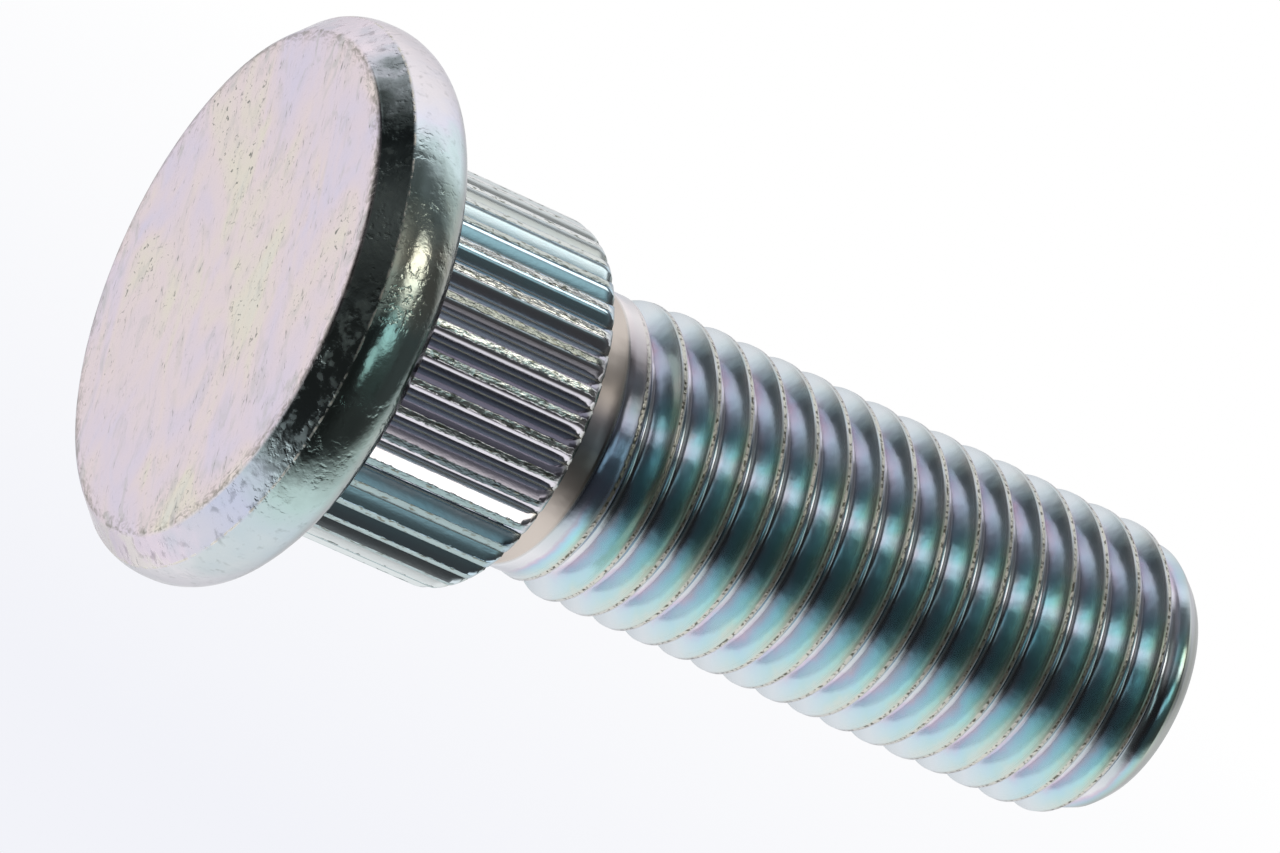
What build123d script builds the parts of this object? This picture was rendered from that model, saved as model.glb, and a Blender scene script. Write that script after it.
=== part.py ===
import os
from math import pi

from build123d import *

os.makedirs("parts", exist_ok=True)

# Head, in millimetres: the flat face lies at height 0 and the shank rises from the seat
face_d = 19.92  # flat end face of the head
bevel_t = 1.0  # height of the sloping band round the face
crease_d = 21.78  # ridge where that band meets the rim
lip_t = 0.2  # height from the ridge to the widest part of the rim
head_d = 22.16  # widest part of the rim
head_t = 4.1  # face to seat
back_r = 2.0  # rounding from the rim to the seat

# Splined shoulder that is pressed into the hub
knurl_d = 14.8  # over the tooth lands
knurl_len = 8.6  # seat to the end of the shoulder
knurl_end_t = 0.9  # part of that length that rounds over and slopes in
knurl_end_r = 0.9  # rounding that the splines run out on
knurl_end_turn = 50  # degrees of that rounding
knurl_teeth = 40
groove_depth = 0.42  # land to the bottom of a groove
land_w = 0.32  # width of a tooth land

# Neck and threaded end
neck_d = 10.96  # undercut beside the shoulder
neck_len = 1.45  # shoulder to the end of the undercut
neck_root = 0.6  # slope from the shoulder into the undercut
blank_d = 11.24  # plain ring that the thread rises from
blank_len = 0.65  # height of that ring
step_t = 0.12  # slope from the undercut to the ring
runout_len = 2.4  # where the thread rises to its full size
thread_d = 11.84  # over the crests, for a 12 mm thread of 1.5 mm pitch
end_t = 2.9  # rounded lead at the free end
end_d = 9.1  # flat at the free end
end_bulge = 0.35  # how far the lead swells past a straight cone
total_len = 41.5  # face to free end

face_r = face_d / 2
head_r = head_d / 2
knurl_r = knurl_d / 2
neck_r = neck_d / 2
thread_r = thread_d / 2

knurl_top = head_t + knurl_len
neck_top = knurl_top + neck_len
ring_low = neck_top + step_t
ring_top = ring_low + blank_len
full_low = ring_top + runout_len
full_top = total_len - end_t

# Half of the section, from the middle of the face round to the free end
with BuildPart() as stud:
    with BuildSketch(Plane.XZ):
        with BuildLine():
            Polyline(
                (0, 0),
                (face_r, 0),
                (crease_d / 2, bevel_t),
                (head_r, bevel_t + lip_t),
                (head_r, head_t - back_r),
            )
            CenterArc((head_r - back_r, head_t - back_r), back_r, 0, 90)
            Polyline(
                (head_r - back_r, head_t),
                (knurl_r, head_t),
                (knurl_r, knurl_top - knurl_end_t),
            )
            end_centre = (knurl_r - knurl_end_r, knurl_top - knurl_end_t)
            knurl_end = CenterArc(end_centre, knurl_end_r, 0, knurl_end_turn)
            Polyline(
                knurl_end @ 1,
                (neck_r + neck_root, knurl_top),
                (neck_r, knurl_top + neck_root),
                (neck_r, neck_top),
                (blank_d / 2, ring_low),
                (blank_d / 2, ring_top),
                (thread_r, full_low),
                (thread_r, full_top),
            )
            SagittaArc((thread_r, full_top), (end_d / 2, total_len), -end_bulge)
            Polyline((end_d / 2, total_len), (0, total_len), (0, 0))
        make_face()
    revolve(axis=Axis.Z)

    # V grooves between the lands, from the seat out through the rounded end
    groove_w = pi * knurl_d / knurl_teeth - land_w
    flare = groove_w / 2 / groove_depth
    reach = groove_depth + land_w
    with BuildSketch(Plane.XY.offset(head_t)):
        with PolarLocations(knurl_r - groove_depth, knurl_teeth):
            Polygon((0, 0), (reach, -flare * reach), (reach, flare * reach), align=None)
    extrude(amount=knurl_len, mode=Mode.SUBTRACT)

export_step(stud.part, "parts/wheel_stud.step")
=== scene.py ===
import math

import bpy
from mathutils import Matrix, Vector, noise


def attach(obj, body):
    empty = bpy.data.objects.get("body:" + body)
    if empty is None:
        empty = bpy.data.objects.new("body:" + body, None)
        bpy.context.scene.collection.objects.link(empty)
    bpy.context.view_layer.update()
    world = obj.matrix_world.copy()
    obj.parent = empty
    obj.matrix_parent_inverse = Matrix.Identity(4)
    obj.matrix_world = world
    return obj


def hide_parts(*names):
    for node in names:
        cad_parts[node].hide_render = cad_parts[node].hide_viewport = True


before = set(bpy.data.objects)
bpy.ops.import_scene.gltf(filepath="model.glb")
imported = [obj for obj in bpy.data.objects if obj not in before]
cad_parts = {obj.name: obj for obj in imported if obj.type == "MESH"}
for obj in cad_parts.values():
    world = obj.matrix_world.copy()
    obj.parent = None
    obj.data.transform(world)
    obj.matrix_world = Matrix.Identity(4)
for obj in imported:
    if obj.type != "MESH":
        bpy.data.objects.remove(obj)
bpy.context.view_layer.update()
mm = 0.001
print("stage: frame loaded")

# Sizes in millimetres: the face lies at height 0 and the shank rises from the seat
headSizes = {
    "columns": 320,
    "faceRings": (2.5, 5.0, 7.5, 9.0),
    "faceRadius": 9.96,
    "faceEdge": 0.22,  # how far the worn edge of the face is rounded over
    "bevelHeight": 1.0,
    "bevelSteps": (0.35, 0.55, 0.75, 0.94),  # rings on the sloping band, as shares of its height
    "creaseRadius": 10.89,
    "rimRadius": 11.08,
    "swellHeight": 1.36,  # the rim bends towards its widest part here
    "widestHeight": 1.95,
    "seatHeight": 4.1,
    "seatRings": (8.4, 7.6),
    "backRounding": 2.0,
    "waver": 0.025,  # the rim isn't machined, so it wavers a little, and inwards
    "waverInward": 0.6,
    "waverFrom": (9.9, 0.1),  # radius and height past which it does
    "wavesPerMetre": 260,
}

splineSizes = {
    "teeth": 40,
    "landRadius": 7.4,
    "landHeights": (4.3, 5.5, 7.0, 8.5, 10.0, 11.0, 11.5),
    "landShare": 0.27,  # part of a tooth's pitch that its land takes
    "grooveDepth": 0.42,
    "grooveBlend": 0.04,  # softens the line where a groove runs out
    # the dies roll one edge of each land over: degrees from the groove and depth below the land, by column
    "rolledEdge": ((2.1, 0.125), (2.9, 0.045), (3.6, 0.01), (4.5, 0.0)),
    "endHeight": 11.8,  # where the lands begin to round over
    "endRounding": 0.9,
    "endTurn": 50,
    "endSteps": (0.12, 0.25, 0.4, 0.6, 0.8, 1.0),  # rings on the slope past that, as shares of its length
    "shoulderTop": 12.7,
    "shoulderInner": 6.08,
}

threadSizes = {
    "columns": 128,
    "pitch": 1.5,
    "crestRadius": 5.92,
    "crestAtZero": 15.641,  # height of a crest where the angle is 0
    # plain ring, its worn corner and the undercut, from the thread down: radius and height
    "neckProfile": ((5.6, 14.6), (5.6, 14.33), (5.58, 14.29), (5.55, 14.26), (5.5, 14.18), (5.48, 14.13),
                    (5.48, 13.7), (5.48, 13.32)),
    "rootCentre": (6.03, 13.3),
    "rootRounding": 0.55,
    "blankRadius": 5.6,
    "blankTop": 14.95,
    "cutRise": 0.9,  # the groove reaches its full depth this far above the ring
    "fullHeight": 17.3,  # from here the thread is full
    "leadHeight": 38.6,  # from here the end rounds in
    "leadRounding": 3.849,
    "leadCentre": (2.071, 38.555),
    "fadeHeight": 39.0,  # from here the thread fades on the lead
    "fadeEnd": 41.12,
    "plainFrom": 41.15,  # the lead carries no thread past here
    "endRadius": 4.55,
    "endCorner": 0.15,  # height of the rounding between the lead and the flat end
    "endRings": (3.4, 2.2, 1.0),
    "endHeight": 41.499,
}

# One pitch of the thread from crest to crest: step along the axis and height above the root, in mm.
# The rolled crest closes in two lips with a seam between them
threadSection = (
    (0.00, 0.906), (0.03, 0.91), (0.06, 0.918), (0.09, 0.918), (0.11, 0.905), (0.127, 0.885),
    (0.166, 0.812), (0.43, 0.285), (0.46, 0.225), (0.50, 0.15), (0.55, 0.098), (0.61, 0.07),
    (0.68, 0.06), (0.75, 0.068), (0.82, 0.105), (0.875, 0.17), (0.92, 0.235), (0.955, 0.289),
    (1.325, 0.860), (1.345, 0.891), (1.36, 0.908), (1.38, 0.918), (1.42, 0.92), (1.465, 0.911),
    (1.50, 0.906),
)


def startFresh():
    if bpy.context.mode != "OBJECT":
        bpy.ops.object.mode_set(mode="OBJECT")
    bpy.ops.object.select_all(action="DESELECT")


def arcRings(centreR, centreZ, radius, fromDeg, toDeg, steps):
    rings = []
    for i in range(steps + 1):
        a = math.radians(fromDeg + (toDeg - fromDeg) * i / steps)
        rings.append((centreR + radius * math.cos(a), centreZ + radius * math.sin(a)))
    return rings


def curveRings(start, bend, end, steps):
    rings = []
    for i in range(steps + 1):
        t = i / steps
        p = start * (1 - t) ** 2 + bend * 2 * t * (1 - t) + end * t ** 2
        rings.append((p.x, p.y))
    return rings


def growRings(start, rings):
    # each ring is the last one extruded along the axis and scaled about it
    r, z = start
    for newR, newZ in rings:
        if abs(newR - r) + abs(newZ - z) < 0.001:
            continue
        bpy.ops.mesh.extrude_edges_move(TRANSFORM_OT_translate={"value": (0, 0, (newZ - z) * mm)})
        bpy.ops.transform.resize(value=(newR / r, newR / r, 1), center_override=(0, 0, 0))
        r, z = newR, newZ


def smoothStep(low, high, value):
    t = min(max((value - low) / (high - low), 0), 1)
    return t * t * (3 - 2 * t)


def softMin(a, b, blend):
    h = max(blend - abs(a - b), 0) / blend
    return min(a, b) - h * h * blend * 0.25


# Head and splined shoulder
def makeHead():
    h, s = headSizes, splineSizes
    innerR = h["faceRings"][0]
    startFresh()
    bpy.ops.mesh.primitive_circle_add(vertices=h["columns"], radius=innerR * mm, fill_type="TRIFAN")
    head = bpy.context.object
    bpy.ops.object.mode_set(mode="EDIT")
    bpy.ops.mesh.select_all(action="DESELECT")
    bpy.ops.mesh.select_non_manifold()
    faceR, bevelH, edge = h["faceRadius"], h["bevelHeight"], h["faceEdge"]
    creaseR, rimR, seatZ = h["creaseRadius"], h["rimRadius"], h["seatHeight"]
    rings = [(r, 0) for r in h["faceRings"][1:]]
    rings.append((faceR - 2.2 * edge, 0))
    # worn corner of the face, as a curve through the true corner's two sides
    slope = Vector((creaseR - faceR, bevelH)).normalized()
    corner = Vector((faceR, 0.0))
    rings += curveRings(Vector((faceR - 1.4 * edge, 0.0)), corner, corner + slope * edge * 1.1, 8)
    rings += [(faceR + (creaseR - faceR) * t, bevelH * t) for t in h["bevelSteps"]]
    # the rim swells from the crease to its widest part
    crease, swell, widest = (Vector(p) for p in ((creaseR, bevelH), (rimR, h["swellHeight"]),
                                                 (rimR, h["widestHeight"])))
    rings += curveRings(crease, swell, widest, 12)
    back, landR = h["backRounding"], s["landRadius"]
    rings += arcRings(rimR - back, seatZ - back, back, 0, 90, 16)
    rings += [(r, seatZ) for r in (*h["seatRings"], landR)]
    rings += [(landR, z) for z in s["landHeights"]]
    rounding = s["endRounding"]
    rings += arcRings(landR - rounding, s["endHeight"], rounding, 0, s["endTurn"], 14)
    lastR, lastZ = rings[-1]
    for t in s["endSteps"]:
        rings.append((lastR + (s["shoulderInner"] - lastR) * t, lastZ + (s["shoulderTop"] - lastZ) * t))
    growRings((innerR, 0), rings)
    bpy.ops.object.mode_set(mode="OBJECT")

    # V grooves between the lands: the columns are drawn in, and each groove runs out on the rounded end
    half = 180 / s["teeth"]
    land = half * s["landShare"]
    step = 360 / h["columns"]
    waverR, waverZ = h["waverFrom"]
    for vert in head.data.vertices:
        co = vert.co
        r, z = math.hypot(co.x, co.y) / mm, co.z / mm
        angle = math.degrees(math.atan2(co.y, co.x))
        if z > seatZ - 0.01 and r < landR + 0.05:
            offset = (angle + half) % (2 * half) - half  # 0 at a groove, half a pitch at a land
            off = abs(offset)
            depth = s["grooveDepth"] * max(1 - off / (half - land), 0)
            if offset < -0.01:
                off, depth = s["rolledEdge"][round(off / step) - 1]
            turned = math.radians(angle - offset + math.copysign(off, offset))
            newR = softMin(r, landR - depth, s["grooveBlend"]) if depth > 0 else r
            co.x, co.y = newR * mm * math.cos(turned), newR * mm * math.sin(turned)
        elif z > waverZ and r > waverR:
            sway = noise.noise(Vector((co.x, co.y, co.z)) * h["wavesPerMetre"]) - h["waverInward"]
            newR = r + h["waver"] * sway
            co.x, co.y = co.x * newR / r, co.y * newR / r
    print("stage: head and splines", len(head.data.vertices), "points")
    return head


# Neck, threaded shank and free end
def leadRadius(z):
    s = threadSizes
    if z <= s["leadHeight"]:
        return s["crestRadius"]
    centreR, centreZ = s["leadCentre"]
    return centreR + math.sqrt(max(s["leadRounding"] ** 2 - (z - centreZ) ** 2, 0))


def makeShank():
    s = threadSizes
    pitch, crestR, plainZ = s["pitch"], s["crestRadius"], s["plainFrom"]
    blankR, blankZ = s["blankRadius"], s["blankTop"]
    rootR = crestR - max(height for step, height in threadSection)
    low = s["crestAtZero"] - 2 * pitch
    startFresh()
    bpy.ops.mesh.primitive_plane_add(size=mm)
    shank = bpy.context.object
    bpy.ops.object.mode_set(mode="EDIT")
    bpy.ops.mesh.merge(type="CENTER")
    at = Vector((0, 0, 0))
    for i, (step, height) in enumerate(threadSection):
        to = Vector(((rootR + height) * mm, 0, (low + step) * mm))
        if i == 0:
            bpy.ops.transform.translate(value=to - at)
        else:
            bpy.ops.mesh.extrude_vertices_move(TRANSFORM_OT_translate={"value": to - at})
        at = to
    bpy.ops.object.mode_set(mode="OBJECT")
    turn = shank.modifiers.new("thread", "SCREW")
    turn.axis = "Z"
    turn.angle = 2 * math.pi
    turn.screw_offset = pitch * mm
    turn.iterations = math.ceil((plainZ - low) / pitch)
    turn.steps = turn.render_steps = s["columns"]
    bpy.ops.object.modifier_apply(modifier=turn.name)
    bpy.ops.object.mode_set(mode="EDIT")
    bpy.ops.mesh.select_all(action="SELECT")
    bpy.ops.mesh.remove_doubles(threshold=0.002 * mm)
    bpy.ops.object.mode_set(mode="OBJECT")

    # the thread rises out of the blank at the neck and dies away on the rounded lead
    for vert in shank.data.vertices:
        co = vert.co
        r, z = math.hypot(co.x, co.y) / mm, co.z / mm
        cut = smoothStep(blankZ, blankZ + s["cutRise"], z)
        cut *= 1 - smoothStep(s["fadeHeight"], s["fadeEnd"], z)
        outer = leadRadius(z)
        if z < s["fullHeight"]:
            outer = blankR + (crestR - blankR) * smoothStep(blankZ, s["fullHeight"], z)
        newR = outer - (crestR - r) * cut
        co.x, co.y = co.x * newR / r, co.y * newR / r

    bpy.ops.object.mode_set(mode="EDIT")
    bpy.ops.mesh.select_all(action="SELECT")
    bpy.ops.mesh.bisect(plane_co=(0, 0, blankZ * mm), plane_no=(0, 0, 1), clear_inner=True,
                        threshold=0.0005 * mm)
    rootArc = arcRings(*s["rootCentre"], s["rootRounding"], 180, 250, 8)
    growRings((blankR, blankZ), [*s["neckProfile"], *rootArc[1:]])
    bpy.ops.mesh.select_all(action="SELECT")
    bpy.ops.mesh.bisect(plane_co=(0, 0, plainZ * mm), plane_no=(0, 0, 1), clear_outer=True,
                        threshold=0.0005 * mm)
    endR, endZ = s["endRadius"], s["endHeight"]
    heights = [plainZ + (endZ - s["endCorner"] - plainZ) * i / 4 for i in range(1, 5)]
    rings = [(leadRadius(z), z) for z in heights]
    bend, flat = Vector((endR + 0.02, endZ - 0.005)), Vector((endR - 0.3, endZ))
    rings += curveRings(Vector(rings[-1]), bend, flat, 6)[1:]
    rings += [(r, endZ) for r in s["endRings"]]
    growRings((leadRadius(plainZ), plainZ), rings)
    bpy.ops.mesh.extrude_edges_move()
    bpy.ops.mesh.merge(type="CENTER")
    bpy.ops.object.mode_set(mode="OBJECT")
    print("stage: shank", len(shank.data.vertices), "points")
    return shank


def joinStud(head, shank):
    startFresh()
    head.select_set(True)
    shank.select_set(True)
    bpy.context.view_layer.objects.active = head
    bpy.ops.object.join()
    stud = bpy.context.object
    bpy.ops.object.mode_set(mode="EDIT")
    bpy.ops.mesh.select_mode(type="EDGE")
    bpy.ops.mesh.select_all(action="DESELECT")
    bpy.ops.mesh.select_non_manifold()
    bpy.ops.mesh.bridge_edge_loops()
    bpy.ops.mesh.select_all(action="SELECT")
    bpy.ops.mesh.remove_doubles(threshold=0.001 * mm)
    bpy.ops.mesh.normals_make_consistent(inside=False)
    bpy.ops.object.mode_set(mode="OBJECT")
    bpy.ops.object.shade_smooth_by_angle(angle=math.radians(40))
    stud.name = stud.data.name = "plated_stud"
    return stud


stud = joinStud(makeHead(), makeShank())
studMesh = stud.data
studMesh.calc_loop_triangles()
print("stage: stud joined", len(studMesh.loop_triangles), "triangles")
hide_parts("wheel_stud")
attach(stud, "root")


def hexColour(code):
    parts = [int(code[i:i + 2], 16) / 255 for i in (1, 3, 5)]
    linear = [c / 12.92 if c <= 0.04045 else ((c + 0.055) / 1.055) ** 2.4 for c in parts]
    return (*linear, 1.0)


def feedNode(tree, node, feeds):
    # a feed is a node, by its first output in use, a socket or a plain value
    for key, value in feeds.items():
        if isinstance(value, bpy.types.Node):
            value = next(socket for socket in value.outputs if socket.enabled)
        if isinstance(value, bpy.types.NodeSocket):
            tree.links.new(value, node.inputs[key])
        else:
            node.inputs[key].default_value = value


def addNode(tree, kind, feeds=None, **settings):
    node = tree.nodes.new("ShaderNode" + kind)
    for name, value in settings.items():
        setattr(node, name, value)
    feedNode(tree, node, feeds or {})
    return node


def setStops(ramp, stops):
    # stops are (place, hex colour), in order
    elements = ramp.color_ramp.elements
    while len(elements) < len(stops):
        elements.new(0.5)
    for element, (place, code) in zip(elements, stops):
        element.position = place
        element.color = hexColour(code)


# Turn from the camera's side of the stud and height above the floor, both in degrees
def aim(turn, height):
    t, h = math.radians(turn), math.radians(height)
    side, across = Vector((0.0157, -0.99988, 0)), Vector((0.99988, 0.0157, 0))
    return (side * math.cos(t) + across * math.sin(t)) * math.cos(h) + Vector((0, 0, 1)) * math.sin(h)


def newMetal(name):
    material = bpy.data.materials.new(name)
    material.use_nodes = True
    tree = material.node_tree
    shader = tree.nodes["Principled BSDF"]
    shader.inputs["Metallic"].default_value = 1
    # the film keeps grazing views from going white
    shader.inputs["Specular Tint"].default_value = hexColour("#d8d8dc")
    # places on the stud in mm: lower runs from -1 on the side that lies uppermost in the photograph to 1 on
    # the lowest, and lowerShare from 0 to 1
    own = addNode(tree, "TexCoord").outputs["Object"]
    place = addNode(tree, "VectorMath", {0: own, "Scale": 1 / mm}, operation="SCALE")
    axes = addNode(tree, "SeparateXYZ", {0: place})
    flat = addNode(tree, "VectorMath", {0: place, 1: (1, 1, 0)}, operation="MULTIPLY")
    unit = addNode(tree, "VectorMath", {0: flat}, operation="NORMALIZE")
    lower = addNode(tree, "VectorMath", {0: unit, 1: aim(90, 0)}, operation="DOT_PRODUCT")
    at = {
        "place": place,
        "z": axes.outputs["Z"],
        "flat": flat,
        "unit": unit,
        "lower": lower,
        "lowerShare": addNode(tree, "Math", {0: lower, 1: 0.5, 2: 0.5}, operation="MULTIPLY_ADD"),
    }
    return material, tree, shader, at


def addTurn(tree, at):
    # angle round the axis, and front, which runs from -1 on the far side to 1 on the near one
    axes = addNode(tree, "SeparateXYZ", {0: at["place"]})
    at["angle"] = addNode(tree, "Math", {0: axes.outputs["Y"], 1: axes.outputs["X"]}, operation="ARCTAN2")
    at["front"] = addNode(tree, "VectorMath", {0: at["unit"], 1: aim(0, 0)}, operation="DOT_PRODUCT")


# Cold-forged head, bright zinc plate under a clear passivate: a pale mirror with pink, cream and lilac film
# colours on the face, a grainy rim, a face edge worn to grey dots and fine handling scratches
headFinish = {
    "faceFilm": ((0.28, "#dcd5e6"), (0.40, "#e3d7e1"), (0.52, "#e8dadb"), (0.64, "#e7e0d3"),
                 (0.78, "#e0e1d8")),
    # film with painted light and shade, from the upper side as the stud lies in the photograph round to the
    # lower one
    "rimFilmShaded": ((0.0, "#f2e9ec"), (0.06, "#eae5ea"), (0.11, "#e2e2f0"), (0.16, "#d2e6e9"),
                (0.24, "#a6b8b4"), (0.34, "#cfd2c4"), (0.47, "#abc9c7"), (0.60, "#a6bab4"),
                (0.69, "#98aca8"), (0.77, "#b8d0ce"), (0.85, "#c4d2d8"), (0.93, "#cfd7da"),
                (1.0, "#e6e4e8")),
    # painted light and shade on the bevel's film, darkest towards the upper side, in the same order
    "bevelFilmShaded": ((0.0, "#f4e8f0"), (0.04, "#d0d2dc"), (0.063, "#969ea2"), (0.10, "#525a5a"),
                  (0.146, "#424a4a"), (0.2, "#606968"), (0.3, "#97a19d"), (0.39, "#848e8a"),
                  (0.5, "#b8c8c4"), (0.74, "#b8cace"), (0.84, "#c6cbdf"), (0.93, "#d0d0dc"),
                  (0.98, "#e4d8e4"), (1.0, "#e8e2e0")),
    "filmCloud": 1.6,  # size of the clouds that shift the film, in mm as all sizes here
    "patch": (6.0, 3.4, 0.9),  # length, width and waviness of the film's patches
    "smudge": (1.5, 0.7, 0.9),
    "smudgeColour": "#bfc0bd",
    "smudgeShare": 0.6,
    "scratch": (0.9, 0.22, 2.0),
    "scratchTurn": -24,  # most of them lie one way across the face, in degrees
    "scratchColour": "#777973",
    "scratchShare": 0.9,
    "speck": 0.24,
    "speckShare": 0.9,
    "edgeRing": 10.0,  # radius of the ring of wear round the face
    "edgeDots": (0.36, 0.16),  # length round the ring and width of its dots
    "wearColour": "#8f8c83",
    "wearShare": 0.7,
    "clump": 1.3,  # wear, pits and dull plate gather in clumps of this size
    "underShade": "#b0b2ae",  # painted shade where the rim turns under to the seat
    "creaseGlint": "#ece8de",  # painted highlight along the crease
    "rimGrain": 0.42,
    "rimMottle": "#6c736d",
    "mottleShare": 0.3,
    "pit": 0.26,
    "relief": 0.0125,
}


def forgedHead():
    f = headFinish
    material, tree, shader, at = newMetal("zincPlateForgedHead")
    place, z = at["place"], at["z"]
    radius = addNode(tree, "VectorMath", {0: at["flat"]}, operation="LENGTH")
    onFace = addNode(tree, "MapRange", {0: z, 1: 0.03, 2: 0.12, 3: 1, 4: 0})
    offFace = addNode(tree, "Math", {0: 1.0, 1: onFace}, operation="SUBTRACT")

    # film colours of the face, and of the bevel and the rim with painted light and shade
    lain = {}
    for name in ("patch", "smudge", "scratch"):
        length, width, wavy = f[name]
        turned = addNode(tree, "Mapping", {"Vector": place, "Scale": (length, width, width),
                                           "Rotation": (0, 0, math.radians(f["scratchTurn"]))},
                         vector_type="TEXTURE")
        lain[name] = addNode(tree, "TexNoise", {"Vector": turned, "Scale": 1, "Detail": 3,
                                                "Distortion": wavy})
    inward = addNode(tree, "MapRange", {0: radius, 1: 0, 2: 9.5, 3: 0.07, 4: -0.04})
    facePlace = addNode(tree, "Math", {0: lain["patch"], 1: inward}, operation="ADD")
    faceFilm = addNode(tree, "ValToRGB", {0: facePlace})
    setStops(faceFilm, f["faceFilm"])
    cloud = addNode(tree, "TexNoise", {"Vector": place, "Scale": 1 / f["filmCloud"], "Detail": 3})
    drift = addNode(tree, "Math", {0: cloud, 1: 0.16, 2: -0.08}, operation="MULTIPLY_ADD")
    turnPlace = addNode(tree, "Math", {0: at["lowerShare"], 1: drift}, operation="ADD")
    rimFilmShaded = addNode(tree, "ValToRGB", {0: turnPlace})
    setStops(rimFilmShaded, f["rimFilmShaded"])
    bevelFilmShaded = addNode(tree, "ValToRGB", {0: turnPlace})
    setStops(bevelFilmShaded, f["bevelFilmShaded"])
    onRim = addNode(tree, "MapRange", {0: z, 1: 0.95, 2: 1.08})
    # painted shade where the rim turns under to the seat
    under = addNode(tree, "MapRange", {0: z, 1: 3.0, 2: 3.7})
    shadedRim = addNode(tree, "Mix", {0: under, 6: rimFilmShaded, 7: hexColour(f["underShade"])}, data_type="RGBA")
    sideTone = addNode(tree, "Mix", {0: onRim, 6: bevelFilmShaded, 7: shadedRim}, data_type="RGBA")
    litShadedFilm = addNode(tree, "Mix", {0: onFace, 6: sideTone, 7: faceFilm}, data_type="RGBA")

    # grey smudges and short dark scratches on the face, dark flecks on the rim
    smudged = addNode(tree, "MapRange", {0: lain["smudge"], 1: 0.53, 2: 0.71, 3: 0, 4: f["smudgeShare"]})
    outward = addNode(tree, "MapRange", {0: radius, 1: 7.5, 2: 9.9, 3: 0.6, 4: 1.2})
    smudges = addNode(tree, "Math", {0: smudged, 1: outward}, operation="MULTIPLY")
    smudgeFace = addNode(tree, "Math", {0: smudges, 1: onFace}, operation="MULTIPLY")
    soiled = addNode(tree, "Mix", {0: smudgeFace, 6: litShadedFilm, 7: hexColour(f["smudgeColour"])}, data_type="RGBA")
    scratched = addNode(tree, "MapRange", {0: lain["scratch"], 1: 0.62, 2: 0.72, 3: 0, 4: f["scratchShare"]})
    gathered = addNode(tree, "MapRange", {0: lain["smudge"], 1: 0.44, 2: 0.6, 3: 0.12, 4: 1})
    scratches = addNode(tree, "Math", {0: scratched, 1: gathered}, operation="MULTIPLY")
    fine = addNode(tree, "TexNoise", {"Vector": place, "Scale": 1 / f["speck"], "Detail": 2,
                                      "Distortion": 1.0})
    specks = addNode(tree, "MapRange", {0: fine, 1: 0.62, 2: 0.71, 3: 0, 4: f["speckShare"]})
    groups = addNode(tree, "MapRange", {0: lain["patch"], 1: 0.5, 2: 0.6, 3: 0.1, 4: 1})
    speckled = addNode(tree, "Math", {0: specks, 1: groups}, operation="MULTIPLY")
    marks = addNode(tree, "Math", {0: scratches, 1: speckled}, operation="MAXIMUM")
    marksFace = addNode(tree, "Math", {0: marks, 1: onFace}, operation="MULTIPLY")
    scored = addNode(tree, "Mix", {0: marksFace, 6: soiled, 7: hexColour(f["scratchColour"])},
                     data_type="RGBA")
    grain = addNode(tree, "TexNoise", {"Vector": place, "Scale": 1 / f["rimGrain"], "Detail": 3})
    mottle = addNode(tree, "MapRange", {0: grain, 1: 0.58, 2: 0.74, 3: 0, 4: f["mottleShare"]})
    mottleRim = addNode(tree, "Math", {0: mottle, 1: offFace}, operation="MULTIPLY")
    mottled = addNode(tree, "Mix", {0: mottleRim, 6: scored, 7: hexColour(f["rimMottle"])}, data_type="RGBA")

    # wear gathers along the edge of the face, in dots drawn out round it
    length, width = f["edgeDots"]
    ringed = addNode(tree, "VectorMath", {0: at["unit"], "Scale": f["edgeRing"] / length}, operation="SCALE")
    outwards = addNode(tree, "Math", {0: radius, 1: 1 / width}, operation="MULTIPLY")
    spread = addNode(tree, "CombineXYZ", {2: outwards})
    ringPlace = addNode(tree, "VectorMath", {0: ringed, 1: spread}, operation="ADD")
    dots = addNode(tree, "TexNoise", {"Vector": ringPlace, "Scale": 1, "Detail": 4, "Distortion": 0.8})
    clumps = addNode(tree, "TexNoise", {"Vector": place, "Scale": 1 / f["clump"], "Detail": 2})
    edgeNear = addNode(tree, "MapRange", {0: radius, 1: 9.2, 2: 9.9})
    edgePast = addNode(tree, "MapRange", {0: radius, 1: 9.93, 2: 10.05, 3: 1, 4: 0})
    edge = addNode(tree, "Math", {0: edgeNear, 1: edgePast}, operation="MULTIPLY")
    edgeClumps = addNode(tree, "Math", {0: edge, 1: clumps}, operation="MULTIPLY")
    dotted = addNode(tree, "Math", {0: edgeClumps, 1: 0.40, 2: dots}, operation="MULTIPLY_ADD")
    worn = addNode(tree, "MapRange", {0: dotted, 1: 0.58, 2: 0.80, 3: 0, 4: f["wearShare"]})
    wornEdge = addNode(tree, "Math", {0: worn, 1: edge}, operation="MULTIPLY")
    wornFilm = addNode(tree, "Mix", {0: wornEdge, 6: mottled, 7: hexColour(f["wearColour"])},
                       data_type="RGBA")
    # a broken ridge runs round the crease, bumped and rougher, with a painted highlight along it
    creaseOff = addNode(tree, "Math", {0: z, 1: -headSizes["bevelHeight"]}, operation="ADD")
    creaseFar = addNode(tree, "Math", {0: creaseOff}, operation="ABSOLUTE")
    creaseNear = addNode(tree, "MapRange", {0: creaseFar, 1: 0.01, 2: 0.05, 3: 1, 4: 0})
    broken = addNode(tree, "MapRange", {0: dots, 1: 0.42, 2: 0.58})
    crease = addNode(tree, "Math", {0: creaseNear, 1: broken}, operation="MULTIPLY")
    colour = addNode(tree, "Mix", {0: crease, 6: wornFilm, 7: hexColour(f["creaseGlint"])}, data_type="RGBA")

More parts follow.
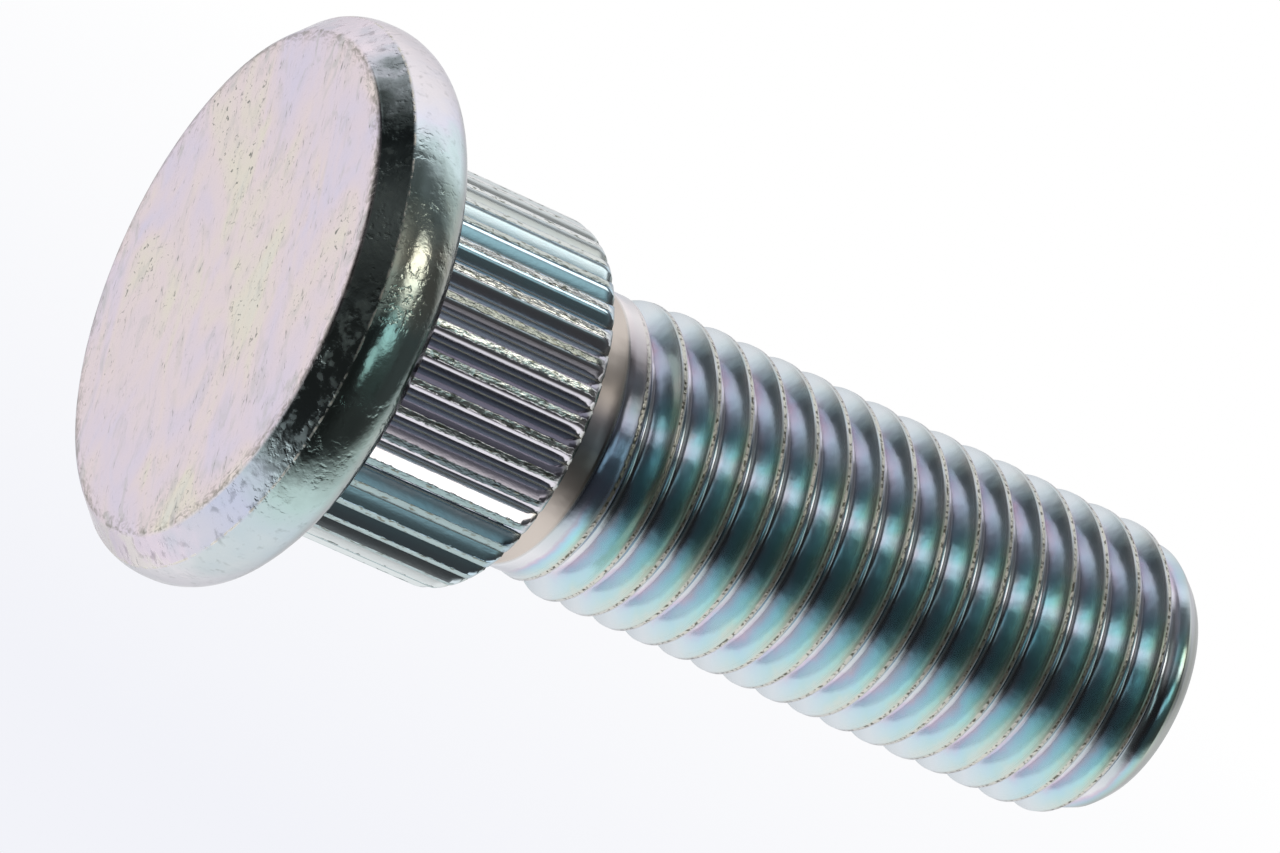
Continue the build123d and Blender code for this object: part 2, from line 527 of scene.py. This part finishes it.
    # the rim is smoky where the plate is dull, and lightly pitted in places
    smoky = addNode(tree, "MapRange", {0: clumps, 1: 0.46, 2: 0.66, 3: 0.12, 4: 0.2})
    speck = addNode(tree, "MapRange", {0: grain, 1: 0.50, 2: 0.66, 3: 0, 4: 0.32})
    offBevel = addNode(tree, "Math", {0: onRim, 1: onFace}, operation="ADD")
    onBevel = addNode(tree, "MapRange", {0: offBevel, 3: 1, 4: 0})
    dulled = addNode(tree, "Math", {0: speck, 1: onBevel, 2: smoky}, operation="MULTIPLY_ADD")
    wornRough = addNode(tree, "Math", {0: wornEdge, 1: 0.15, 2: dulled}, operation="MULTIPLY_ADD")
    rough = addNode(tree, "Math", {0: crease, 1: 0.35, 2: wornRough}, operation="MULTIPLY_ADD")
    pits = addNode(tree, "TexNoise", {"Vector": place, "Scale": 1 / f["pit"], "Detail": 3})
    pitted = addNode(tree, "MapRange", {0: pits, 1: 0.50, 2: 0.76, 3: 0, 4: -1.5})
    pitPlaces = addNode(tree, "MapRange", {0: clumps, 1: 0.42, 2: 0.62})
    pitHeight = addNode(tree, "Math", {0: pitted, 1: pitPlaces}, operation="MULTIPLY")
    rugged = addNode(tree, "Math", {0: crease, 1: 0.7, 2: grain}, operation="MULTIPLY_ADD")
    relief = addNode(tree, "Math", {0: pitHeight, 1: rugged}, operation="ADD")
    calm = addNode(tree, "Math", {0: onFace, 1: -0.8, 2: 1.0}, operation="MULTIPLY_ADD")
    lump = addNode(tree, "Math", {0: onBevel, 1: 0.5, 2: calm}, operation="MULTIPLY_ADD")
    height = addNode(tree, "Math", {0: relief, 1: lump}, operation="MULTIPLY")
    bump = addNode(tree, "Bump", {"Strength": 1.0, "Distance": f["relief"] * mm, "Height": height})
    feedNode(tree, shader, {"Base Color": colour, "Roughness": rough, "Normal": bump})
    return material


# Rolled splines: the dies leave smooth grooves with a violet film, steel-blue where they turn aside, and the
# lands between stay rough and sparkle; one wall of each groove has painted shade, the lands painted light and
# shade
splineFinish = {
    # from the sides round to the front
    "groove": ((0.35, "#dde3e4"), (0.60, "#c8e2f2"), (0.76, "#c6e2f4"), (0.90, "#e2dfe8")),
    # painted shade on one wall of each groove, darker in some places than others, from the upper side round
    # to the lower one
    "grooveShade": ((0.28, "#e2e2e8"), (0.37, "#c4c4cc"), (0.43, "#8e8e9a"), (0.51, "#848490"),
                    (0.58, "#acacb8"), (0.66, "#b0b0bc"), (0.71, "#ffffff"), (0.755, "#ffffff"),
                    (0.79, "#b4bcc0"), (0.815, "#b4bcc0"), (0.85, "#ffffff")),
    # painted light and shade on the lands, lighter and darker by place, from the upper side round to the
    # lower one
    "land": ((0.03, "#f4f6f5"), (0.12, "#c8d0cb"), (0.17, "#f2f5f3"), (0.24, "#f0f4f1"), (0.30, "#9aa19c"),
             (0.38, "#f0f6f3"), (0.46, "#f4f7f5"), (0.55, "#f4f7f6"), (0.64, "#a2b0b0"), (0.69, "#75858a"),
             (0.75, "#a0b6b8"), (0.84, "#b8cccd"), (0.95, "#c2d3d4")),
    "landFleck": "#8b8f84",
    "landGrain": (0.34, 0.13),  # length along the axis and width, in mm
    "line": "#d8d2d0",  # seam left at the bottom of each groove
    "end": "#c6cac1",
    "filmCloud": 1.5,  # size of the clouds that shift the film, in mm
    "roughness": (0.33, 0.15),  # on the upper side, which is rubbed, and elsewhere
    "relief": 0.038,  # in mm
}


def rolledSplines():
    f, s = splineFinish, splineSizes
    material, tree, shader, at = newMetal("zincPlateRolledSplines")
    addTurn(tree, at)
    place, z, lower, count = at["place"], at["z"], at["lower"], s["teeth"]
    teeth = addNode(tree, "Math", {0: at["angle"], 1: count / (2 * math.pi), 2: count},
                    operation="MULTIPLY_ADD")
    off = addNode(tree, "Math", {0: teeth, 1: 0.5}, operation="PINGPONG")  # 0 in a groove, 0.5 on a land
    length, width = f["landGrain"]
    stretched = addNode(tree, "VectorMath", {0: place, 1: (1 / width, 1 / width, 1 / length)},
                        operation="MULTIPLY")
    grit = addNode(tree, "TexNoise", {"Vector": stretched, "Scale": 1, "Detail": 3})
    ragged = addNode(tree, "Math", {0: grit, 1: 0.12, 2: off}, operation="MULTIPLY_ADD")
    endZ = s["endHeight"]
    below = addNode(tree, "MapRange", {0: z, 1: endZ + 0.2, 2: endZ + 0.6, 3: 1, 4: 0})
    line = addNode(tree, "MapRange", {0: off, 1: 0.015, 2: 0.04, 3: 1, 4: 0})
    facing = addNode(tree, "Math", {0: at["front"]}, operation="ABSOLUTE")
    cloud = addNode(tree, "TexNoise", {"Vector": place, "Scale": 1 / f["filmCloud"], "Detail": 4})
    drift = addNode(tree, "Math", {0: cloud, 1: 0.16, 2: -0.08}, operation="MULTIPLY_ADD")
    groovePlace = addNode(tree, "Math", {0: facing, 1: drift}, operation="ADD")
    groove = addNode(tree, "ValToRGB", {0: groovePlace})
    setStops(groove, f["groove"])
    # painted shade on one wall of each groove
    across = addNode(tree, "Math", {0: teeth}, operation="FRACT")
    shadedWall = addNode(tree, "MapRange", {0: across, 1: 0.45, 2: 0.55, 3: 1, 4: 0})
    shade = addNode(tree, "ValToRGB", {0: at["lowerShare"]})
    setStops(shade, f["grooveShade"])
    walls = addNode(tree, "Mix", {0: shadedWall, 6: groove, 7: shade}, data_type="RGBA", blend_type="MULTIPLY")
    # low on the stud the rolled-over edge is as rough as the land
    lowSide = addNode(tree, "MapRange", {0: lower, 1: 0.5, 2: 0.62, 3: 0, 4: 0.15})
    lowShadedWall = addNode(tree, "Math", {0: lowSide, 1: shadedWall}, operation="MULTIPLY")
    lowRolled = addNode(tree, "Math", {0: lowSide, 1: lowShadedWall}, operation="SUBTRACT")
    reach = addNode(tree, "Math", {0: ragged, 1: lowRolled}, operation="ADD")
    land = addNode(tree, "MapRange", {0: reach, 1: 0.435, 2: 0.465})
    onLand = addNode(tree, "Math", {0: land, 1: below}, operation="MULTIPLY")
    lined = addNode(tree, "Mix", {0: line, 6: walls, 7: hexColour(f["line"])}, data_type="RGBA")
    end = addNode(tree, "MapRange", {0: z, 1: endZ + 0.35, 2: endZ + 0.75})
    ended = addNode(tree, "Mix", {0: end, 6: lined, 7: hexColour(f["end"])}, data_type="RGBA")
    flecks = addNode(tree, "MapRange", {0: grit, 1: 0.57, 2: 0.66})
    # painted light and shade on the lands, by place round the stud
    landLitShaded = addNode(tree, "ValToRGB", {0: at["lowerShare"]})
    setStops(landLitShaded, f["land"])
    landTone = addNode(tree, "Mix", {0: flecks, 6: landLitShaded, 7: hexColour(f["landFleck"])}, data_type="RGBA")
    colour = addNode(tree, "Mix", {0: onLand, 6: ended, 7: landTone}, data_type="RGBA")
    rubbed, smooth = f["roughness"]
    dull = addNode(tree, "Math", {0: line, 1: end}, operation="MAXIMUM")
    matte = addNode(tree, "MapRange", {0: lower, 1: -0.9, 2: -0.76, 3: rubbed, 4: smooth})
    satin = addNode(tree, "Math", {0: onLand, 1: lowSide}, operation="MULTIPLY")
    landRough = addNode(tree, "Math", {0: satin, 1: 2.0, 2: matte}, operation="MULTIPLY_ADD")
    rough = addNode(tree, "Math", {0: dull, 1: 0.14, 2: landRough}, operation="MULTIPLY_ADD")
    lump = addNode(tree, "Math", {0: onLand, 1: 0.94, 2: 0.05}, operation="MULTIPLY_ADD")
    height = addNode(tree, "Math", {0: grit, 1: lump}, operation="MULTIPLY")
    bump = addNode(tree, "Bump", {"Strength": 1.0, "Distance": f["relief"] * mm, "Height": height})
    feedNode(tree, shader, {"Base Color": colour, "Roughness": rough, "Normal": bump})
    return material


# Rolled thread: mirror-smooth flanks whose film runs from rose past the crest through lilac in the root to
# blue, teal and mint, with painted light where the flanks turn edge-on, and a rough golden seam along each
# crest
threadFinish = {
    # part of a pitch past the crest, and colour, on the near and far sides and on the sides between
    "front": ((0.46, "#bcc8ce"), (0.55, "#b8bac4"), (0.60, "#b4cadc"), (0.65, "#a9d6e6"), (0.71, "#a4deea"),
              (0.78, "#a4e0e0"), (0.84, "#aedcd2"), (0.93, "#c0d0c0")),
    "side": ((0.46, "#e6e6ea"), (0.55, "#d6cadc"), (0.60, "#c6cae0"), (0.65, "#bad0e4"), (0.71, "#b9d8e5"),
             (0.78, "#bbdae2"), (0.84, "#bfdadc"), (0.93, "#d0dcd6")),
    # painted light, laid on in the bands below
    "bandLight": "#e0deee",
    # painted light: how far the film is paler and pinker in two bands, from the upper side round to the lower
    # one
    "paintedLightBands": ((0.06, "#000000"), (0.12, "#bcbcbc"), (0.21, "#bcbcbc"), (0.285, "#000000"),
                  (0.335, "#000000"), (0.36, "#a4a4a4"), (0.385, "#a4a4a4"), (0.42, "#000000")),
    # painted light towards the outline, where the flanks turn edge-on
    "outlineLight": "#e4e8ed",
    # painted shade: the film is darker near the upper outline, from the upper side round to the lower one
    "upperShade": ((0.01, "#ffffff"), (0.035, "#f3ecef"), (0.08, "#f3ecef"), (0.11, "#ffffff")),
    "filmCloud": 2.2,  # size of the clouds that shift the film, in mm
    "threadRun": ((14.2, 14.3), (40.3, 41.0)),  # heights over which the thread's film begins and ends
    "crestRun": ((14.9, 15.2), (39.6, 39.9)),  # heights over which the seam does
    "crest": ("#dadad2", "#a29e92"),  # on the sides and towards the front
    "fleck": "#5f5d50",
    "grit": 0.16,  # size of the flecks, in mm
    "seamWidth": 0.07,  # half of the seam, in mm
    "neck": ("#d6ccc4", "#7a787e"),  # on the sides, and painted shade towards the front
    # plain ring below the first turn, film with painted light and shade, from the upper side round to the
    # lower one
    "ring": ((0.05, "#f5efef"), (0.117, "#c4bdc0"), (0.19, "#968e92"), (0.25, "#a8a8b4"), (0.33, "#6e7380"),
             (0.413, "#868ea9"), (0.55, "#96a9cb"), (0.67, "#a6afcf")),
    "ringEnd": (15.1, 15.8),  # heights over which the ring's film ends
    "lead": "#b2b6b0",
    "roughness": (0.33, 0.18),  # of the neck and of the flanks
    "wave": 0.7,  # length of the flanks' slight waves, in mm
    "relief": 0.09,  # in mm
}


def rolledThread():
    f, s = threadFinish, threadSizes
    material, tree, shader, at = newMetal("zincPlateRolledThread")
    addTurn(tree, at)
    place, z, lower = at["place"], at["z"], at["lower"]
    pitch = s["pitch"]
    climbed = 40 - s["crestAtZero"] / pitch  # forty turns keep it above 0
    climb = addNode(tree, "Math", {0: z, 1: 1 / pitch, 2: climbed}, operation="MULTIPLY_ADD")
    wound = addNode(tree, "Math", {0: at["angle"], 1: -1 / (2 * math.pi), 2: climb}, operation="MULTIPLY_ADD")
    pastCrest = addNode(tree, "Math", {0: wound}, operation="FRACT")
    cloud = addNode(tree, "TexNoise", {"Vector": place, "Scale": 1 / f["filmCloud"], "Detail": 4,
                                       "Roughness": 0.65})
    drift = addNode(tree, "Math", {0: cloud, 1: 0.4, 2: -0.2}, operation="MULTIPLY_ADD")
    filmPlace = addNode(tree, "Math", {0: pastCrest, 1: drift}, operation="ADD")
    frontFilm = addNode(tree, "ValToRGB", {0: filmPlace})
    setStops(frontFilm, f["front"])
    sideTone = addNode(tree, "ValToRGB", {0: filmPlace})
    setStops(sideTone, f["side"])
    facing = addNode(tree, "Math", {0: at["front"]}, operation="ABSOLUTE")
    aside = addNode(tree, "MapRange", {0: facing, 1: 0.6, 2: 0.87, 3: 1, 4: 0})
    turnedFilm = addNode(tree, "Mix", {0: aside, 6: frontFilm, 7: sideTone}, data_type="RGBA")
    # painted light in bands round the stud
    lightBandMask = addNode(tree, "ValToRGB", {0: at["lowerShare"]})
    setStops(lightBandMask, f["paintedLightBands"])
    lightBanded = addNode(tree, "Mix", {0: lightBandMask, 6: turnedFilm, 7: hexColour(f["bandLight"])}, data_type="RGBA")
    # painted light towards the outline, where the flanks turn edge-on
    edgeOn = addNode(tree, "MapRange", {0: facing, 1: 0.12, 2: 0.5, 3: 0.85, 4: 0})
    outlineLit = addNode(tree, "Mix", {0: edgeOn, 6: lightBanded, 7: hexColour(f["outlineLight"])}, data_type="RGBA")
    # painted shade near the upper outline
    upperShade = addNode(tree, "ValToRGB", {0: at["lowerShare"]})
    setStops(upperShade, f["upperShade"])
    litShadedFilm = addNode(tree, "Mix", {0: 1.0, 6: outlineLit, 7: upperShade}, data_type="RGBA", blend_type="MULTIPLY")

    # the seam is rough and ragged, with dark flecks
    phase = addNode(tree, "Math", {0: wound, 1: 0.5}, operation="PINGPONG")
    fromCrest = addNode(tree, "Math", {0: phase, 1: pitch}, operation="MULTIPLY")  # mm along the axis
    grit = addNode(tree, "TexNoise", {"Vector": place, "Scale": 1 / f["grit"], "Detail": 3})
    ragged = addNode(tree, "Math", {0: grit, 1: 0.14, 2: fromCrest}, operation="MULTIPLY_ADD")
    seamEdge = f["seamWidth"] + 0.07  # the grit adds this much on the average
    crest = addNode(tree, "MapRange", {0: ragged, 1: seamEdge - 0.03, 2: seamEdge + 0.03, 3: 1, 4: 0})
    (fromLow, fromHigh), (toLow, toHigh) = f["threadRun"]
    threadFrom = addNode(tree, "MapRange", {0: z, 1: fromLow, 2: fromHigh})
    threadTo = addNode(tree, "MapRange", {0: z, 1: toLow, 2: toHigh, 3: 1, 4: 0})
    onThread = addNode(tree, "Math", {0: threadFrom, 1: threadTo}, operation="MULTIPLY")
    (fromLow, fromHigh), (toLow, toHigh) = f["crestRun"]
    crestFrom = addNode(tree, "MapRange", {0: z, 1: fromLow, 2: fromHigh})
    crestTo = addNode(tree, "MapRange", {0: z, 1: toLow, 2: toHigh, 3: 1, 4: 0})
    crestRun = addNode(tree, "Math", {0: crestFrom, 1: crestTo}, operation="MULTIPLY")
    bright = addNode(tree, "Math", {0: edgeOn, 1: -0.7, 2: 1.0}, operation="MULTIPLY_ADD")
    crestShare = addNode(tree, "Math", {0: crest, 1: bright}, operation="MULTIPLY")
    onCrest = addNode(tree, "Math", {0: crestShare, 1: crestRun}, operation="MULTIPLY")
    flecks = addNode(tree, "MapRange", {0: grit, 1: 0.50, 2: 0.60})
    sideCrest, frontCrest = (hexColour(code) for code in f["crest"])
    fromFront = addNode(tree, "Math", {0: lower, 1: 0.13}, operation="SUBTRACT")
    turnedBy = addNode(tree, "Math", {0: fromFront}, operation="ABSOLUTE")
    dimmed = addNode(tree, "MapRange", {0: turnedBy, 1: 0.2, 2: 0.34, 3: 1, 4: 0})
    crestTone = addNode(tree, "Mix", {0: dimmed, 6: sideCrest, 7: frontCrest}, data_type="RGBA")
    seam = addNode(tree, "Mix", {0: flecks, 6: crestTone, 7: hexColour(f["fleck"])}, data_type="RGBA")

    # the plain ring below the first turn has a film with painted light and shade of its own on the front
    ringLow, ringHigh = f["ringEnd"]
    ringRun = addNode(tree, "MapRange", {0: z, 1: ringLow, 2: ringHigh, 3: 1, 4: 0})
    ringSide = addNode(tree, "MapRange", {0: lower, 1: 0.25, 2: 0.6, 3: 0.9, 4: 0})
    ringFront = addNode(tree, "MapRange", {0: at["front"], 1: 0, 2: 0.3})
    ringFilm = addNode(tree, "ValToRGB", {0: at["lowerShare"]})
    setStops(ringFilm, f["ring"])
    ringTurn = addNode(tree, "Math", {0: ringSide, 1: ringFront}, operation="MULTIPLY")
    onRing = addNode(tree, "Math", {0: ringRun, 1: ringTurn}, operation="MULTIPLY")
    ringed = addNode(tree, "Mix", {0: onRing, 6: litShadedFilm, 7: ringFilm}, data_type="RGBA")
    seamed = addNode(tree, "Mix", {0: onCrest, 6: ringed, 7: seam}, data_type="RGBA")

    # plain neck, with painted shade towards the front, and lead
    sideNeck, neckShade = (hexColour(code) for code in f["neck"])
    fromShade = addNode(tree, "Math", {0: lower, 1: 0.09}, operation="ADD")
    shadeFar = addNode(tree, "Math", {0: fromShade}, operation="ABSOLUTE")
    shaded = addNode(tree, "MapRange", {0: shadeFar, 1: 0.1, 2: 0.45, 3: 1, 4: 0})
    neck = addNode(tree, "Mix", {0: shaded, 6: sideNeck, 7: neckShade}, data_type="RGBA")
    ends = addNode(tree, "Mix", {0: threadFrom, 6: neck, 7: hexColour(f["lead"])}, data_type="RGBA")
    colour = addNode(tree, "Mix", {0: onThread, 6: ends, 7: seamed}, data_type="RGBA")
    neckRough, flankRough = f["roughness"]
    plainRough = addNode(tree, "MapRange", {0: threadFrom, 3: neckRough, 4: flankRough})
    lips = addNode(tree, "MapRange", {0: fromCrest, 1: 0.11, 2: 0.27, 3: 0.18, 4: 0})
    satin = addNode(tree, "Math", {0: lips, 1: crestRun}, operation="MULTIPLY")
    rough = addNode(tree, "Math", {0: satin, 1: plainRough}, operation="ADD")
    lump = addNode(tree, "Math", {0: onCrest, 1: 0.35, 2: 0.02}, operation="MULTIPLY_ADD")
    gritHeight = addNode(tree, "Math", {0: grit, 1: lump}, operation="MULTIPLY")
    wave = addNode(tree, "TexNoise", {"Vector": place, "Scale": 1 / f["wave"], "Detail": 1})
    height = addNode(tree, "Math", {0: wave, 1: 0.13, 2: gritHeight}, operation="MULTIPLY_ADD")
    bump = addNode(tree, "Bump", {"Strength": 1.0, "Distance": f["relief"] * mm, "Height": height})
    feedNode(tree, shader, {"Base Color": colour, "Roughness": rough, "Normal": bump})
    return material


studMesh.materials.clear()
for finish in (forgedHead(), rolledSplines(), rolledThread()):
    studMesh.materials.append(finish)
for face in studMesh.polygons:
    z = face.center.z / mm
    onHead = math.hypot(face.center.x, face.center.y) / mm > splineSizes["landRadius"] + 0.02 or z < 1
    face.material_index = 0 if onHead else 1 if z < splineSizes["shoulderTop"] - 0.02 else 2
print("stage: finishes")

# Studio: a white tent round the stud, open to a dark room where all the openings overlap, with small lamps
# in it. Places are turn, height, radius and softness in degrees
studioLight = {
    "opening": ((51, -25, 137, 16), (-50, -8, 106, 12), (18, 18, 158, 18), (72, 4, 156, 10)),
    "dark": (0.018, 0.048),  # brightness of the room, low down and high up
    "darkRise": (-0.2, 0.35),  # heights between which it brightens, as sines
    "lamps": (
        ((-34, 24, 9.5, 5), 2.0, "#fff9ee"),
        ((-64, 28, 18, 14), 0.11, "#e8eef2"),
        ((-62, -18, 28, 14), 0.11, "#e6ecec"),
        ((-32, -8, 12, 12), 0.14, "#f2eee6"),
        ((-31, -24, 14, 9), 0.24, "#eef0ea"),
        ((-82, -52, 26, 16), 0.11, "#e8ecf0"),
        ((-18, 29, 13, 10), 0.05, "#eef2f0"),
        ((-8, 19, 6, 5), 1.0, "#d0ece9"),
        ((4, 8, 5, 5), 0.9, "#d0ece9"),
        ((2, 27, 12, 9), 0.03, "#b4e9dc"),
        ((-60, 76, 36, 26), 0.03, "#f2e8ea"),
    ),
    # the backdrop behind the stud is white and greys a little towards one corner
    "corner": "#f2f3f9",
    "cornerWay": (-0.6, -0.8),  # to the right and up in the picture
    "cornerRun": (-0.01, 0.05),
}

# Camera at the photograph's viewing angle
cameraView = {
    "lens": 309.375,
    "sensor": 36,
    "clip": (0.01, 100),
    "place": (5.754, -366.317, -166.048),
    "right": (-0.404981, -0.416772, 0.813813),
    "up": (-0.914157, 0.167516, -0.369128),
    "back": (0.017515, -0.893443, -0.448836),
}

world = bpy.data.worlds.new("studio")
bpy.context.scene.world = world
world.use_nodes = True
tree = world.node_tree
direction = addNode(tree, "TexCoord").outputs["Generated"]


def spotMask(turn, height, radius, soft):
    dot = addNode(tree, "VectorMath", {0: direction, 1: aim(turn, height)}, operation="DOT_PRODUCT")
    outer, inner = (math.cos(math.radians(radius + soft * k)) for k in (1, -1))
    return addNode(tree, "MapRange", {0: dot, 1: outer, 2: inner}, interpolation_type="SMOOTHSTEP")


masks = [spotMask(*place) for place in studioLight["opening"]]
room = masks[0]
for mask in masks[1:]:
    room = addNode(tree, "Math", {0: room, 1: mask}, operation="MULTIPLY")
rise = addNode(tree, "SeparateXYZ", {0: direction}).outputs["Z"]
lowDark, highDark = studioLight["dark"]
lowRise, highRise = studioLight["darkRise"]
dark = addNode(tree, "MapRange", {0: rise, 1: lowRise, 2: highRise, 3: lowDark, 4: highDark})
light = addNode(tree, "Mix", {0: room, 2: 1.0, 3: dark}, data_type="FLOAT")
for place, strength, code in studioLight["lamps"]:
    glow = Vector(hexColour(code)[:3]) * strength
    lit = addNode(tree, "VectorMath", {0: glow, "Scale": spotMask(*place)}, operation="SCALE")
    light = addNode(tree, "VectorMath", {0: lit, 1: light}, operation="ADD")
toRight, toTop = studioLight["cornerWay"]
corner = toRight * Vector(cameraView["right"]) + toTop * Vector(cameraView["up"])
cornerward = addNode(tree, "VectorMath", {0: direction, 1: corner}, operation="DOT_PRODUCT")
whiteTo, greyFrom = studioLight["cornerRun"]
greyed = addNode(tree, "MapRange", {0: cornerward, 1: whiteTo, 2: greyFrom})
backdrop = addNode(tree, "Mix", {0: greyed, 6: hexColour("#ffffff"), 7: hexColour(studioLight["corner"])},
                   data_type="RGBA")
path = addNode(tree, "LightPath")
seen = addNode(tree, "Mix", {0: path.outputs["Is Camera Ray"], 6: light, 7: backdrop}, data_type="RGBA")
feedNode(tree, tree.nodes["Background"], {"Color": seen})

# Pale floor, seen from above only, so that the camera under it sees the head
paperFloor = {
    "size": 4,  # in metres
    "drop": 0.1,  # in mm below the face
    "colour": "#f2f2f2",
    "roughness": 0.9,
}

startFresh()
bpy.ops.mesh.primitive_plane_add(size=paperFloor["size"], location=(0, 0, -paperFloor["drop"] * mm))
floor = bpy.context.object
floor.name = "floor"
paper = bpy.data.materials.new("palePaperFloor")
paper.use_nodes = True
tree = paper.node_tree
sheet = tree.nodes["Principled BSDF"]
sheet.inputs["Base Color"].default_value = hexColour(paperFloor["colour"])
sheet.inputs["Roughness"].default_value = paperFloor["roughness"]
path = addNode(tree, "LightPath")
side = addNode(tree, "NewGeometry")
fromTop = addNode(tree, "Math", {0: 1.0, 1: side.outputs["Backfacing"]}, operation="SUBTRACT")
shown = addNode(tree, "Math", {0: fromTop, 1: path.outputs["Is Camera Ray"]}, operation="MULTIPLY")
clear = addNode(tree, "BsdfTransparent")
mixed = addNode(tree, "MixShader", {0: shown, 1: clear, 2: sheet})
feedNode(tree, tree.nodes["Material Output"], {"Surface": mixed})
floor.data.materials.append(paper)
print("stage: studio and floor")

startFresh()
bpy.ops.object.camera_add()
camera = bpy.context.object
camera.data.lens = cameraView["lens"]
camera.data.sensor_width = cameraView["sensor"]
camera.data.clip_start, camera.data.clip_end = cameraView["clip"]
columns = [Vector(cameraView[k]).normalized() for k in ("right", "up", "back")]
turned = Matrix(columns).transposed().to_4x4()
turned.translation = Vector(cameraView["place"]) * mm
camera.matrix_world = turned
scene = bpy.context.scene
scene.camera = camera
scene.view_settings.view_transform = "Standard"

print("stage: finished")
